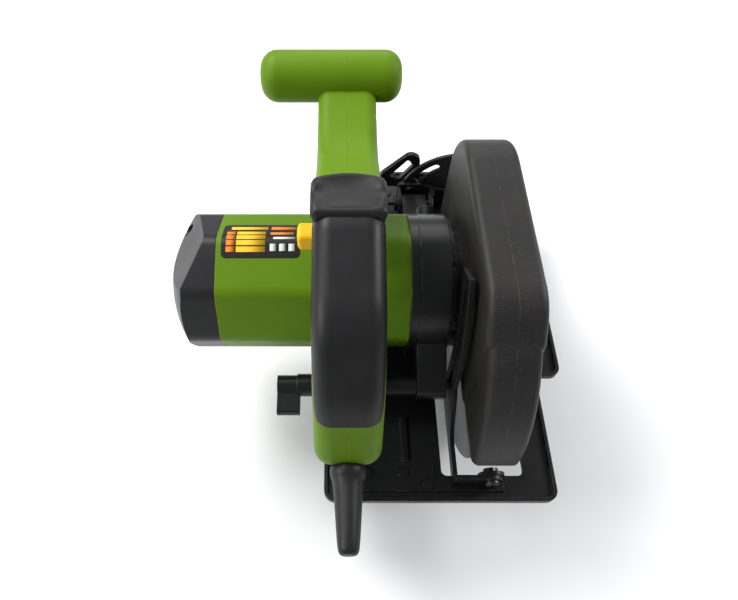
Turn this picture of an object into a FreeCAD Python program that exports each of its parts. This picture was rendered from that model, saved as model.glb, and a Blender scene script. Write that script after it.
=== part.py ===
import FreeCAD, Part
import math
import os

# Hand-held circular saw for a 190 mm blade.
# +X points to the blade side, +Y to the front of the cut, +Z up.
# Origin: underside of the sole, in the plane of the blade, straight below the spindle.

V = FreeCAD.Vector

# ---- driving dimensions, mm ----
BLADE_DIA = 190.0
BLADE_BODY = 1.6
KERF = 2.4
BLADE_BORE_R = 10.0
TOOTH_COUNT = 24
GULLET_DEPTH = 9.0

SPINDLE_Z = 32.0
GEAR_MODULE = 1.4
GEAR_TEETH = 36
PINION_TEETH = 11
MOTOR_ANGLE = 60.0
GEAR_CENTRES = GEAR_MODULE * (GEAR_TEETH + PINION_TEETH) / 2
MOTOR_Y = GEAR_CENTRES * math.cos(math.radians(MOTOR_ANGLE))
MOTOR_Z = SPINDLE_Z + GEAR_CENTRES * math.sin(math.radians(MOTOR_ANGLE))

SOLE_LEFT = -112.0
SOLE_RIGHT = 48.0
SOLE_REAR = -126.0
SOLE_FRONT = 178.0
SOLE_T = 2.5
SOLE_LIP = 5.5
SOLE_CORNER = 8.0
WING_RIGHT = 67.0
WING_REAR = -33.0
SLOT_LEFT = -30.0
SLOT_RIGHT = 27.0
SLOT_REAR = -108.0
SLOT_FRONT = 112.0

TILT_X = 2.0
TILT_Z = 12.5
TILT_MAX = 45.0
QUADRANT_R = 42.0
QUADRANT_START = 15.0
FOOT_T = 2.0
BRACKET_T = 2.5

PIVOT_Y = 126.0
PIVOT_Z = 20.0
PIVOT_R = 4.0
PIVOT_BOSS_R = 8.0
DEPTH_SWING = 28.0
ARM_X = -24.0
ARM_T = 3.0
RAIL_LOW = 5.0
RAIL_HIGH = 12.0
LOCK_Y = -51.6
LOCK_Z = 30.0
LOCK_ROD_R = 8.0
LOCK_ROD_LEFT = -145.0
LOCK_BOLT_R = 3.0

GUARD_WALL = 2.5
GUARD_LEFT = -17.5
GUARD_RIGHT = 18.0
GUARD_TAIL_STEP = 2.0
GUARD_TOP = 139.0
GUARD_LOW = 36.0
GUARD_NOSE_R = 45.0
GUARD_FRONT = 105.8
GUARD_TAIL_R = 111.0

LOWER_R = 100.0
LOWER_HALF = 10.5
LOWER_WALL = 1.4
LOWER_HUB_R = 24.0
LOWER_BACK = -100.0
LOWER_FRONT = 92.0

NOSE_R = 19.0
NOSE_END = -9.1
RING_T = 1.0

HOUSING_R = 49.5
HOUSING_WALL = 2.6
HOUSING_LEFT = -182.5
HOUSING_RIGHT = -54.0
FACET_TURN = 1.7
CAP_DEPTH = 36.5
CAP_TIP = HOUSING_LEFT - CAP_DEPTH
CAP_DOME_R = 88.0

GEARBOX_RIGHT = -25.0
BRIDGE_T = 6.0
PAD_R = 36.0

HANDLE_X = -96.0
HANDLE_W = 42.0
HANDLE_SKIN = 3.0
THUMB_W = 44.0
CROSSBAR_Y = 129.0
CROSSBAR_Z = 150.0
CROSSBAR_R = 17.5
CROSSBAR_LEFT = -156.0
CROSSBAR_RIGHT = -58.0

RUN_FIT = 0.05
GAP = 0.3


# ---- shape helpers ----
def box(x0, x1, y0, y1, z0, z1):
    return Part.makeBox(x1 - x0, y1 - y0, z1 - z0, V(x0, y0, z0))


def rod_x(y, z, r, x0, x1):
    return Part.makeCylinder(r, x1 - x0, V(x0, y, z), V(1, 0, 0))


def rod_y(x, z, r, y0, y1):
    return Part.makeCylinder(r, y1 - y0, V(x, y0, z), V(0, 1, 0))


def rod_z(x, y, r, z0, z1):
    return Part.makeCylinder(r, z1 - z0, V(x, y, z0), V(0, 0, 1))


def ring_x(y, z, r_out, r_in, x0, x1):
    return rod_x(y, z, r_out, x0, x1).cut(rod_x(y, z, r_in, x0 - 1, x1 + 1))


def outline(corners, place):
    """Closed wire through (a, b, radius) corners; place turns a, b into a point."""
    joins = []
    count = len(corners)
    for i in range(count):
        a, b, radius = corners[i]
        here = V(a, b, 0)
        before = V(corners[i - 1][0], corners[i - 1][1], 0) - here
        after = V(corners[(i + 1) % count][0], corners[(i + 1) % count][1], 0) - here
        before.normalize()
        after.normalize()
        half = before.getAngle(after) / 2
        if radius == 0:
            joins.append((here, here, here))
            continue
        cut = radius / math.tan(half)
        middle = before + after
        middle.normalize()
        joins.append((here + before * cut,
                      here + middle * (radius / math.sin(half) - radius),
                      here + after * cut))
    edges = []
    for i in range(count):
        start, middle, end = joins[i]
        if start != end:
            edges.append(Part.Arc(place(start), place(middle), place(end)).toShape())
        following = joins[(i + 1) % count][0]
        if end.distanceToPoint(following) > 1e-6:
            edges.append(Part.makeLine(place(end), place(following)))
    return Part.Wire(edges)


def slab_x(corners, x0, x1):
    """Outline given as (y, z, radius), from x0 to x1."""
    wire = outline(corners, lambda p: V(x0, p.x, p.y))
    return Part.Face(wire).extrude(V(x1 - x0, 0, 0))


def slab_y(corners, y0, y1):
    """Outline given as (x, z, radius), from y0 to y1."""
    wire = outline(corners, lambda p: V(p.x, y0, p.y))
    return Part.Face(wire).extrude(V(0, y1 - y0, 0))


def slab_z(corners, z0, z1):
    """Outline given as (x, y, radius), from z0 to z1."""
    wire = outline(corners, lambda p: V(p.x, p.y, z0))
    return Part.Face(wire).extrude(V(0, 0, z1 - z0))


def soften_ends(shape, x_planes, radius):
    """Round the edges of the faces that lie in the given x planes."""
    edges = []
    for edge in shape.Edges:
        size = edge.BoundBox
        for x in x_planes:
            if abs(size.XMin - x) < 1e-4 and abs(size.XMax - x) < 1e-4:
                edges.append(edge)
    return shape.makeFillet(radius, edges)


def polar(y, z, r, degrees):
    """Point at an angle measured from -Y up towards +Z."""
    turn = math.radians(degrees)
    return (y - r * math.cos(turn), z + r * math.sin(turn))


def wedge_x(y, z, r, start, end, x0, x1):
    """Pie slice about an axis along X; angles run from -Y up towards +Z."""
    corners = [(y, z, 0)]
    steps = max(2, int(math.ceil((end - start) / 60.0)))
    for i in range(steps + 1):
        turn = start + (end - start) * i / steps
        corners.append(polar(y, z, r, turn) + (0,))
    return slab_x(corners, x0, x1)


def join(shapes):
    whole = shapes[0]
    for shape in shapes[1:]:
        whole = whole.fuse(shape)
    return whole.removeSplitter()


def group(shapes):
    return Part.makeCompound(shapes)


def save(name, shape):
    shape.exportStep("parts/" + name + ".step")


# ---- sole and its fixed brackets ----
SOLE_OUTLINE = [
    (SOLE_LEFT, SOLE_REAR, SOLE_CORNER), (SOLE_RIGHT, SOLE_REAR, SOLE_CORNER),
    (SOLE_RIGHT, WING_REAR, 3.0), (WING_RIGHT, WING_REAR, SOLE_CORNER),
    (WING_RIGHT, SOLE_FRONT, SOLE_CORNER), (SOLE_LEFT, SOLE_FRONT, SOLE_CORNER)]
RIVET_R = 2.5
REAR_RIVETS = [(-82.0, -107.0), (-57.0, -107.0), (-40.0, -114.5)]
QUADRANT_Y = 140.8
FRONT_RIVETS = [(-58.0, 152.0), (-20.0, 152.0), (8.0, 152.0)]
FENCE_X = -86.0
FENCE_Y = 141.0
FENCE_RIVETS = [(FENCE_X + dx, FENCE_Y + dy) for dx in (-11.0, 11.0) for dy in (-17.5, 17.5)]
FENCE_SLOT_W = 20.0
FENCE_SLOT_H = 5.0


def base_plate():
    plate = slab_z(SOLE_OUTLINE, 0, SOLE_LIP)
    inner = outline(SOLE_OUTLINE, lambda p: V(p.x, p.y, SOLE_T)).makeOffset2D(-SOLE_T)
    plate = plate.cut(Part.Face(inner).extrude(V(0, 0, SOLE_LIP)))
    slot = slab_z([(SLOT_LEFT, SLOT_REAR, 4), (SLOT_RIGHT, SLOT_REAR, 4),
                   (SLOT_RIGHT, SLOT_FRONT, 4), (SLOT_LEFT, SLOT_FRONT, 4)], -1, SOLE_LIP + 1)
    plate = plate.cut(slot)
    for x, length in ((-54.0, 32.0), (-98.0, 150.0)):
        rib = rod_y(x, SOLE_T - 2.0, 4.0, -98.0, -98.0 + length)
        plate = plate.fuse(rib.common(box(x - 9, x + 9, -130, 130, SOLE_T / 2, 9)))
    for x, y in REAR_RIVETS + FRONT_RIVETS + FENCE_RIVETS:
        plate = plate.cut(rod_z(x, y, RIVET_R, -1, SOLE_LIP))
    return plate.removeSplitter()


def rear_pivot_bracket():
    top = SOLE_T + FOOT_T
    foot = box(-90, 12, -119, -109.5, SOLE_T, top)
    foot = foot.fuse(box(-90, -36, -110, -100, SOLE_T, top))
    tab = slab_y([(TILT_X - 9, SOLE_T, 0), (TILT_X + 9, SOLE_T, 0),
                  (TILT_X + 9, TILT_Z + 8, 8), (TILT_X - 9, TILT_Z + 8, 8)], -112, -109.5)
    bracket = foot.fuse(tab).cut(rod_y(TILT_X, TILT_Z, 3.0, -120, -100))
    for x, y in REAR_RIVETS:
        bracket = bracket.cut(rod_z(x, y, RIVET_R, 0, 10))
    return bracket.removeSplitter()


def quadrant_point(angle, radius=QUADRANT_R):
    turn = math.radians(angle)
    return (TILT_X - radius * math.cos(turn), TILT_Z + radius * math.sin(turn))


def bevel_quadrant():
    """Upright plate on the sole with the arc slot that the bevel bolt runs in."""
    y0 = QUADRANT_Y
    y1 = y0 + BRACKET_T
    arc_low = quadrant_point(QUADRANT_START - 14, QUADRANT_R + 9)
    plate = rod_y(TILT_X, TILT_Z, QUADRANT_R + 9, y0, y1)
    plate = plate.common(box(arc_low[0], TILT_X + 12, y0, y1, SOLE_T, 90))
    plate = plate.cut(slab_y([(TILT_X - 6, TILT_Z + 12, 6), (TILT_X + 30, TILT_Z + 12, 0),
                              (TILT_X + 30, 95, 0), (TILT_X - 6, 95, 0)], y0 - 1, y1 + 1))
    slot_w = 3.2
    slot = rod_y(TILT_X, TILT_Z, QUADRANT_R + slot_w, y0 - 1, y1 + 1)
    slot = slot.cut(rod_y(TILT_X, TILT_Z, QUADRANT_R - slot_w, y0 - 2, y1 + 2))
    reach = 2 * QUADRANT_R
    first = quadrant_point(QUADRANT_START, reach)
    middle = quadrant_point(QUADRANT_START + TILT_MAX / 2, reach)
    last = quadrant_point(QUADRANT_START + TILT_MAX, reach)
    slot = slot.common(slab_y([(TILT_X, TILT_Z, 0), first + (0,), middle + (0,), last + (0,)],
                              y0 - 1, y1 + 1))
    for angle in (QUADRANT_START, QUADRANT_START + TILT_MAX):
        x, z = quadrant_point(angle)
        slot = slot.fuse(rod_y(x, z, slot_w, y0 - 1, y1 + 1))
    plate = plate.cut(slot)
    plate = plate.cut(rod_y(TILT_X, TILT_Z, 3.0, y0 - 1, y1 + 1))
    foot = slab_z([(-68, y0, 0), (18, y0, 0), (18, 160, 6), (-68, 160, 6)], SOLE_T, SOLE_T + FOOT_T)
    plate = plate.fuse(foot)
    for x, y in FRONT_RIVETS:
        plate = plate.cut(rod_z(x, y, RIVET_R, 0, 10))
    return plate.removeSplitter()


def fence_bracket():
    """Bridge pressed over the rip fence bar, with a tapped hole for its thumb screw."""
    low = SOLE_T
    roof = low + FENCE_SLOT_H
    bridge = box(-104, -68, FENCE_Y - 22, FENCE_Y + 22, low, low + FOOT_T)
    bridge = bridge.fuse(box(-104, -68, FENCE_Y - 13, FENCE_Y + 13, low, roof + 3))
    bridge = bridge.cut(box(-105, -67, FENCE_Y - FENCE_SLOT_W / 2, FENCE_Y + FENCE_SLOT_W / 2, low - 1, roof))
    bridge = bridge.cut(rod_z(FENCE_X, FENCE_Y, 3.0, low, 30))
    for x, y in FENCE_RIVETS:
        bridge = bridge.cut(rod_z(x, y, RIVET_R, 0, 10))
    return bridge.removeSplitter()


def rivet(x, y, top):
    shank = rod_z(x, y, RIVET_R, 0.2, top)
    head = rod_z(x, y, RIVET_R + 1.6, top, top + 1.5)
    return shank.fuse(head.makeFillet(1.0, [head.Edges[0]])).removeSplitter()


def sole_rivets():
    return group([rivet(x, y, SOLE_T + FOOT_T) for x, y in REAR_RIVETS + FRONT_RIVETS + FENCE_RIVETS])


def fence_screw():
    """Thumb screw with two wings, clamping the fence bar."""
    x, y = FENCE_X, FENCE_Y
    foot = SOLE_T + FENCE_SLOT_H + GAP
    stem = rod_z(x, y, 3.0 - RUN_FIT, foot, 17)
    collar = rod_z(x, y, 6.0, 11.5, 19)
    wings = slab_y([(x - 13, 15, 2), (x + 13, 15, 2), (x + 15, 27, 3), (x + 9, 28, 2), (x + 3, 19, 1),
                    (x - 3, 19, 1), (x - 9, 28, 2), (x - 15, 27, 3)], y - 1.6, y + 1.6)
    return join([stem, collar, wings])


# ---- tilting frame ----
def depth_arm():
    """One pressed plate: low rail, slotted arc about the depth pivot, rear strap and front ear."""
    x0 = ARM_X
    x1 = ARM_X + ARM_T
    reach = PIVOT_Y - LOCK_Y
    slot_r = math.hypot(reach, LOCK_Z - PIVOT_Z)
    rest = math.degrees(math.atan2(LOCK_Z - PIVOT_Z, reach))
    blank = ring_x(PIVOT_Y, PIVOT_Z, slot_r + 11, slot_r - 11, x0, x1)
    blank = blank.common(wedge_x(PIVOT_Y, PIVOT_Z, 300, rest - 7, rest + DEPTH_SWING + 4, x0, x1))
    blank = blank.common(box(x0, x1, -200, 200, RAIL_LOW, 200))
    web = slab_x([(-112, RAIL_LOW, 0), (-40, RAIL_LOW, 0), (-45, 46, 0), (-62, 46, 14),
                  (-84, RAIL_HIGH + 2, 14), (-112, RAIL_HIGH + 2, 0)], x0, x1)
    rail = slab_x([(-112, RAIL_LOW, 0), (PIVOT_Y + 8, RAIL_LOW, 4), (PIVOT_Y + 9, PIVOT_Z + 9, 8),
                   (PIVOT_Y - 10, PIVOT_Z + 9, 8), (PIVOT_Y - 24, RAIL_HIGH, 8),
                   (-112, RAIL_HIGH, 0)], x0, x1)
    strap = box(x0, TILT_X, -115, -112.3, RAIL_LOW, TILT_Z + 7.5)
    strap = strap.fuse(rod_y(TILT_X, TILT_Z, 7.5, -115, -112.3))
    heel = box(x0, x1, -115, -111, RAIL_LOW, RAIL_HIGH + 2)
    plate = join([blank, web, rail, strap, heel])
    slot = ring_x(PIVOT_Y, PIVOT_Z, slot_r + LOCK_BOLT_R + 0.2, slot_r - LOCK_BOLT_R - 0.2,
                  x0 - 1, x1 + 1)
    slot = slot.common(wedge_x(PIVOT_Y, PIVOT_Z, 300, rest, rest + DEPTH_SWING, x0 - 1, x1 + 1))
    for turn in (rest, rest + DEPTH_SWING):
        y, z = polar(PIVOT_Y, PIVOT_Z, slot_r, turn)
        slot = slot.fuse(rod_x(y, z, LOCK_BOLT_R + 0.2, x0 - 1, x1 + 1))
    plate = plate.cut(slot)
    plate = plate.cut(rod_x(PIVOT_Y, PIVOT_Z, PIVOT_R, x0 - 1, x1 + 1))
    plate = plate.cut(rod_y(TILT_X, TILT_Z, 3.0, -120, -110))
    return plate.removeSplitter()


BEVEL_WALL_Y = QUADRANT_Y - GAP - BRACKET_T
LUG_LEFT = -47.5
LUG_RIGHT = -27.0


def front_pivot_bracket():
    """Channel behind the quadrant: cross wall, and a left ear for the depth pivot pin."""
    y0 = BEVEL_WALL_Y
    y1 = y0 + BRACKET_T
    bolt_x, bolt_z = quadrant_point(QUADRANT_START)
    wall = slab_y([(LUG_LEFT - 3, 6, 3), (TILT_X, 6, 0), (TILT_X, TILT_Z + 7.5, 0),
                   (bolt_x + 9, bolt_z + 8, 6), (LUG_LEFT - 3, bolt_z + 8, 3)], y0, y1)
    wall = wall.fuse(rod_y(TILT_X, TILT_Z, 7.5, y0, y1))
    ear = slab_x([(PIVOT_Y - 9, PIVOT_Z - 9, 8), (y1, PIVOT_Z - 9, 0), (y1, PIVOT_Z + 9, 0),
                  (PIVOT_Y - 9, PIVOT_Z + 9, 8)], LUG_LEFT - 3, LUG_LEFT - 0.5)
    flange = box(ARM_X + ARM_T, ARM_X + ARM_T + 2.5, PIVOT_Y + 2.5, y1, 8, 26)
    bracket = join([wall, ear, flange])
    bracket = bracket.cut(rod_x(PIVOT_Y, PIVOT_Z, PIVOT_R, LUG_LEFT - 5, LUG_LEFT))
    bracket = bracket.cut(rod_x(PIVOT_Y, PIVOT_Z, PIVOT_R + 3, ARM_X + ARM_T, 0))
    bracket = bracket.cut(rod_y(TILT_X, TILT_Z, 3.0, y0 - 1, y1 + 1))
    bracket = bracket.cut(rod_y(bolt_x, bolt_z, 3.0, y0 - 1, y1 + 1))
    return bracket.removeSplitter()


def depth_pivot_pin():
    pin = rod_x(PIVOT_Y, PIVOT_Z, PIVOT_R, LUG_LEFT - 4, ARM_X + ARM_T + 1)
    head = rod_x(PIVOT_Y, PIVOT_Z, PIVOT_R + 2.5, LUG_LEFT - 6, LUG_LEFT - 3)
    clip = ring_x(PIVOT_Y, PIVOT_Z, PIVOT_R + 2, PIVOT_R - 1, ARM_X + ARM_T, ARM_X + ARM_T + 1)
    return join([pin, head, clip])


def bevel_bolt():
    """Square-necked bolt fixed in the front pivot bracket, through the quadrant's slot."""
    x, z = quadrant_point(QUADRANT_START)
    head = rod_y(x, z, 6.0, BEVEL_WALL_Y - 2.5, BEVEL_WALL_Y)
    return head.fuse(rod_y(x, z, 3.0, BEVEL_WALL_Y, QUADRANT_Y + 17)).removeSplitter()


def tilt_rivets():
    """Front and rear pivots of the bevel tilt; the rear one is a pan-head cross screw."""
    front = rod_y(TILT_X, TILT_Z, 3.0 - RUN_FIT, BEVEL_WALL_Y - 1.5, QUADRANT_Y + BRACKET_T + 1.5)
    front = front.fuse(rod_y(TILT_X, TILT_Z, 5.0, BEVEL_WALL_Y - 1.5, BEVEL_WALL_Y))
    front = front.fuse(rod_y(TILT_X, TILT_Z, 5.0, QUADRANT_Y + BRACKET_T + 0.1,
                             QUADRANT_Y + BRACKET_T + 1.5))
    rear = rod_y(TILT_X, TILT_Z, 3.0 - RUN_FIT, -116, -107)
    head = rod_y(TILT_X, TILT_Z, 5.5, -118.2, -115)
    head = head.makeFillet(1.6, [e for e in head.Edges if abs(e.BoundBox.YMax + 118.2) < 1e-4])
    for length_x, length_z in ((6.5, 1.3), (1.3, 6.5)):
        head = head.cut(box(TILT_X - length_x / 2, TILT_X + length_x / 2, -119, -116.6,
                            TILT_Z - length_z / 2, TILT_Z + length_z / 2))
    nut = rod_y(TILT_X, TILT_Z, 5.0, -109.4, -106.5).cut(rod_y(TILT_X, TILT_Z, 3.0 - RUN_FIT, -112, -105))
    return group([front.removeSplitter(), join([rear, head, nut])])


def bevel_lever():
    """Clamp nut with a pressed arm; the arm's end is a closed loop."""
    x, z = quadrant_point(QUADRANT_START)
    y0 = QUADRANT_Y + BRACKET_T + GAP
    hub = rod_y(x, z, 8.0, y0, y0 + 10)
    arm = slab_y([(x - 25, z - 4, 5), (x + 6, z - 6, 3), (x + 8, z + 5, 4), (x + 6, z + 30, 6),
                  (x - 3, z + 35, 6), (x - 27, z + 10, 6)], y0 + 4, y0 + 8)
    window = slab_y([(x - 19, z + 8, 1.5), (x - 10, z + 4, 1.5), (x + 1, z + 21, 1.5),
                     (x - 4, z + 28, 1.5)], y0, y0 + 12)
    lever = join([hub, arm.cut(window)])
    return lever.cut(rod_y(x, z, 3.0 + RUN_FIT, y0 - 1, y0 + 12)).removeSplitter()


# ---- blade guard ----
def guard_main_outline(inset):
    """Side view of the deep front part of the guard, drawn in by inset."""
    nose_y = GUARD_FRONT - GUARD_NOSE_R
    return [(-69.0 + inset, GUARD_LOW, 0), (-69.0 + inset, 118.0 - inset, max(0.5, 9.0 - inset)),
            (-50.0, GUARD_TOP - inset, 30.0), (nose_y, GUARD_TOP - inset, 0),
            (GUARD_FRONT - inset, GUARD_TOP - inset, GUARD_NOSE_R - inset - 0.01),
            (GUARD_FRONT - inset, GUARD_LOW, 0)]


def guard_form(inset):
    """Outer form of the guard, or its cavity when drawn in by the wall."""
    x0 = GUARD_LEFT + inset
    x1 = GUARD_RIGHT - inset
    low = GUARD_LOW
    if inset:
        low = GUARD_LOW - 5
    main = slab_x([(y, low if z == GUARD_LOW else z, r) for y, z, r in guard_main_outline(inset)], x0, x1)
    main = soften_ends(main, [x0, x1], max(1.5, 5.0 - inset))
    tail = rod_x(0, SPINDLE_Z, GUARD_TAIL_R - inset, x0 + GUARD_TAIL_STEP, x1 - GUARD_TAIL_STEP)
    tail = soften_ends(tail, [x0 + GUARD_TAIL_STEP, x1 - GUARD_TAIL_STEP], max(1.5, 5.0 - inset))
    tail = tail.common(box(-60, 60, -120, -60, low, 150))
    return main.fuse(tail)


def guard_shell():
    shell = guard_form(0).cut(guard_form(GUARD_WALL))
    below = box(-60, 60, -200, 200, -100, GUARD_LOW)
    return shell.cut(below)


def guard_half(shell, x0, x1):
    return shell.common(box(x0, x1, -200, 200, 0, 200)).removeSplitter()


GUARD_SCREWS = [(34.0, 88.0), (-8.0, 82.0), (44.0, 52.0)]


def guard_left_half(shell):
    half = guard_half(shell, -60, 0)
    half = half.cut(rod_x(0, SPINDLE_Z, NOSE_R + 0.2, -30, -10))
    for y, z in GUARD_SCREWS:
        half = half.cut(rod_x(y, z, 2.0, -30, -10))
    return half.removeSplitter()


def guard_right_half(shell):
    """The right wall is notched round the flange, so the blade bolt can be reached."""
    half = guard_half(shell, 0, 60)
    half = half.cut(rod_x(0, SPINDLE_Z, 27.0, 10, 30))
    return half.removeSplitter()


def guard_screws():
    screws = []
    for y, z in GUARD_SCREWS:
        inner = GUARD_LEFT + GUARD_WALL
        screws.append(rod_x(y, z, 2.0, GUARD_LEFT - 8, inner).fuse(rod_x(y, z, 4.0, inner, inner + 2.2)))
    return group([screw.removeSplitter() for screw in screws])


def sector(r_out, r_in, x0, x1, start, end):
    """Ring sector about the spindle; angles from straight down, positive to the front."""
    ring = ring_x(0, SPINDLE_Z, r_out, r_in, x0, x1)
    corners = [(0, SPINDLE_Z, 0)]
    for i in range(5):
        turn = math.radians(start + (end - start) * i / 4)
        corners.append((200 * math.sin(turn), SPINDLE_Z - 200 * math.cos(turn), 0))
    return ring.common(slab_x(corners, x0, x1))


def lower_guard():
    """Spring-closed guard: left wall on its hub ring, rim, and a narrower right wall."""
    left = sector(LOWER_R, LOWER_HUB_R - 2, -LOWER_HALF, -LOWER_HALF + LOWER_WALL, LOWER_BACK, LOWER_FRONT)
    hub = ring_x(0, SPINDLE_Z, LOWER_HUB_R, NOSE_R + RUN_FIT, -13.5, -LOWER_HALF + LOWER_WALL)
    rim = sector(LOWER_R, LOWER_R - LOWER_WALL, -LOWER_HALF, LOWER_HALF, LOWER_BACK, LOWER_FRONT)
    right = sector(LOWER_R, 62.0, LOWER_HALF - LOWER_WALL, LOWER_HALF, LOWER_BACK, LOWER_FRONT)
    return join([left, hub, rim, right])


def guard_lift_lever():
    """Arm on the lower guard's right wall, with the knob that draws the guard back."""
    turn = math.radians(75)
    y, z = 72 * math.sin(turn), SPINDLE_Z - 72 * math.cos(turn)
    foot = rod_x(y, z, 8.0, LOWER_HALF, LOWER_HALF + 1.5)
    knob = rod_x(y, z, 6.0, LOWER_HALF + 1.5, 24)
    knob = knob.makeFillet(2.5, [e for e in knob.Edges if abs(e.BoundBox.XMin - 24) < 1e-4])
    return join([foot, knob])


def guard_spring():
    """Flat coil round the nose, returning the lower guard."""
    wire = 0.6
    return Part.makeTorus(21.0, wire, V(GUARD_LEFT + GUARD_WALL + wire + 0.05, 0, SPINDLE_Z), V(1, 0, 0))


def retaining_ring():
    return ring_x(0, SPINDLE_Z, 22.0, 17.0, NOSE_END + 0.05, NOSE_END + 0.05 + RING_T)


# ---- gear case ----
GEARBOX_LEFT = HOUSING_RIGHT + BRIDGE_T
GEAR_PITCH_R = GEAR_MODULE * GEAR_TEETH / 2
PINION_PITCH_R = GEAR_MODULE * PINION_TEETH / 2
GEAR_CAVITY_R = GEAR_PITCH_R + GEAR_MODULE + 0.6
PINION_CAVITY_R = PINION_PITCH_R + GEAR_MODULE + 2.0
CASE_FOOT_R = GEAR_CAVITY_R + 1.6
CAVITY_RIGHT = -30.0
MAIN_BEARING_R = 16.0
BALL_BEARING_R = 11.0
BUSH_R = 7.0
SPINDLE_R = 7.5
SPINDLE_TAIL_R = 5.0
SHAFT_R = 5.0
SHAFT_END_R = 4.0
HOUSING_SCREWS = [polar(MOTOR_Y, MOTOR_Z, 41.5, turn) for turn in (20, 69, 150, 215)]
LOCK_BUTTON_X = -38.0
LOCK_BUTTON_Z = 76.0
LOCK_BUTTON_R = 6.0
LOCK_BUTTON_BACK = 58.2
LOCK_BUTTON_FACE = 71.0


def tapered_x(y1, z1, r1, y2, z2, r2, x0, x1):
    """Two round ends joined by their outer tangents."""
    along = math.atan2(z2 - z1, y2 - y1)
    spread = math.acos((r1 - r2) / math.hypot(y2 - y1, z2 - z1))
    corners = []
    for y, z, r, side in ((y1, z1, r1, 1), (y1, z1, r1, -1), (y2, z2, r2, -1), (y2, z2, r2, 1)):
        turn = along + side * spread
        corners.append((y + r * math.cos(turn), z + r * math.sin(turn), 0))
    return join([slab_x(corners, x0, x1), rod_x(y1, z1, r1, x0, x1), rod_x(y2, z2, r2, x0, x1)])


def case_form(x0, x1):
    return tapered_x(MOTOR_Y, MOTOR_Z, HOUSING_R - 1, 0, SPINDLE_Z, CASE_FOOT_R, x0, x1)


def gear_housing():
    right = GEARBOX_RIGHT
    body = case_form(GEARBOX_LEFT, right - 3)
    face = tapered_x(MOTOR_Y, MOTOR_Z, HOUSING_R - 4, 0, SPINDLE_Z, CASE_FOOT_R, right - 3, right)
    pad = rod_x(MOTOR_Y, MOTOR_Z, PAD_R, right, GUARD_LEFT)
    lug = tapered_x(30, 40, 20, PIVOT_Y, PIVOT_Z, PIVOT_BOSS_R, LUG_LEFT, LUG_RIGHT)
    lock = tapered_x(-18, 46, 14, LOCK_Y, LOCK_Z, 10, LUG_LEFT, LUG_RIGHT)
    nose = rod_x(0, SPINDLE_Z, NOSE_R, right, NOSE_END)
    tip = rod_x(0, SPINDLE_Z, NOSE_R - 2, NOSE_END, NOSE_END + RING_T + 0.6)
    case = join([body, face, pad, lug, lock, nose, tip])
    cavity = tapered_x(0, SPINDLE_Z, GEAR_CAVITY_R, MOTOR_Y, MOTOR_Z, PINION_CAVITY_R,
                       GEARBOX_LEFT - 1, CAVITY_RIGHT)
    case = case.cut(cavity)
    case = case.cut(rod_x(0, SPINDLE_Z, MAIN_BEARING_R, CAVITY_RIGHT - 1, -17))
    case = case.cut(rod_x(0, SPINDLE_Z, SPINDLE_R + 1.5, -18, 0))
    case = case.cut(rod_x(0, SPINDLE_Z, 13.0, -14, 0))
    case = case.cut(rod_x(PIVOT_Y, PIVOT_Z, PIVOT_R + RUN_FIT, LUG_LEFT - 1, LUG_RIGHT + 1))
    case = case.cut(rod_x(LOCK_Y, LOCK_Z, LOCK_BOLT_R, LUG_LEFT - 1, LUG_RIGHT + 1))
    case = case.cut(rod_y(LOCK_BUTTON_X, LOCK_BUTTON_Z, LOCK_BUTTON_R + RUN_FIT, 52, 90))
    for y, z in HOUSING_SCREWS:
        case = case.cut(rod_x(y, z, 2.0, GEARBOX_LEFT - 1, right - 6))
        case = case.cut(rod_x(y, z, 4.2, right - 7, right + 1))
    for y, z in GUARD_SCREWS:
        case = case.cut(rod_x(y, z, 2.0, GUARD_LEFT - 8, GUARD_LEFT + 1))
    return case.removeSplitter()


def bearing_bridge():
    """Plate between motor and gear case, carrying the armature's front bearing."""
    left = HOUSING_RIGHT
    boss = rod_x(MOTOR_Y, MOTOR_Z, BALL_BEARING_R + 3, left - 3, left)
    bridge = join([case_form(left, GEARBOX_LEFT), boss])
    bridge = bridge.cut(rod_x(MOTOR_Y, MOTOR_Z, BALL_BEARING_R, left - 4, GEARBOX_LEFT - 1))
    bridge = bridge.cut(rod_x(MOTOR_Y, MOTOR_Z, SHAFT_END_R + 2, left - 4, GEARBOX_LEFT + 1))
    bridge = bridge.cut(rod_x(0, SPINDLE_Z, BUSH_R, GEARBOX_LEFT - 5, GEARBOX_LEFT + 1))
    for y, z in HOUSING_SCREWS:
        bridge = bridge.cut(rod_x(y, z, 2.0, left - 1, GEARBOX_LEFT + 1))
    return bridge.removeSplitter()


def ball_bearing(y, z, r_out, r_in, x0, x1):
    """Outer ring, inner ring and a shield between them, as one closed unit."""
    whole = ring_x(y, z, r_out, r_in, x0, x1)
    for face in (x0 - 1, x1 - 0.6):
        mid = (r_out + r_in) / 2
        span = (r_out - r_in) * 0.22
        whole = whole.cut(ring_x(y, z, mid + span, mid - span, face, face + 1.6))
    return whole.removeSplitter()


def spindle_bearings():
    main = ball_bearing(0, SPINDLE_Z, MAIN_BEARING_R, SPINDLE_R + RUN_FIT, -26, -17)
    bush = ring_x(0, SPINDLE_Z, BUSH_R, SPINDLE_TAIL_R + RUN_FIT, GEARBOX_LEFT - 5, GEARBOX_LEFT)
    return group([main, bush])


def spindle_lock_button():
    """Push button whose pin reaches for the gear when pressed."""
    head = rod_y(LOCK_BUTTON_X, LOCK_BUTTON_Z, LOCK_BUTTON_R, LOCK_BUTTON_BACK, LOCK_BUTTON_FACE)
    return head.makeFillet(1.5, [e for e in head.Edges if abs(e.BoundBox.YMin - LOCK_BUTTON_FACE) < 1e-4])


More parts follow.
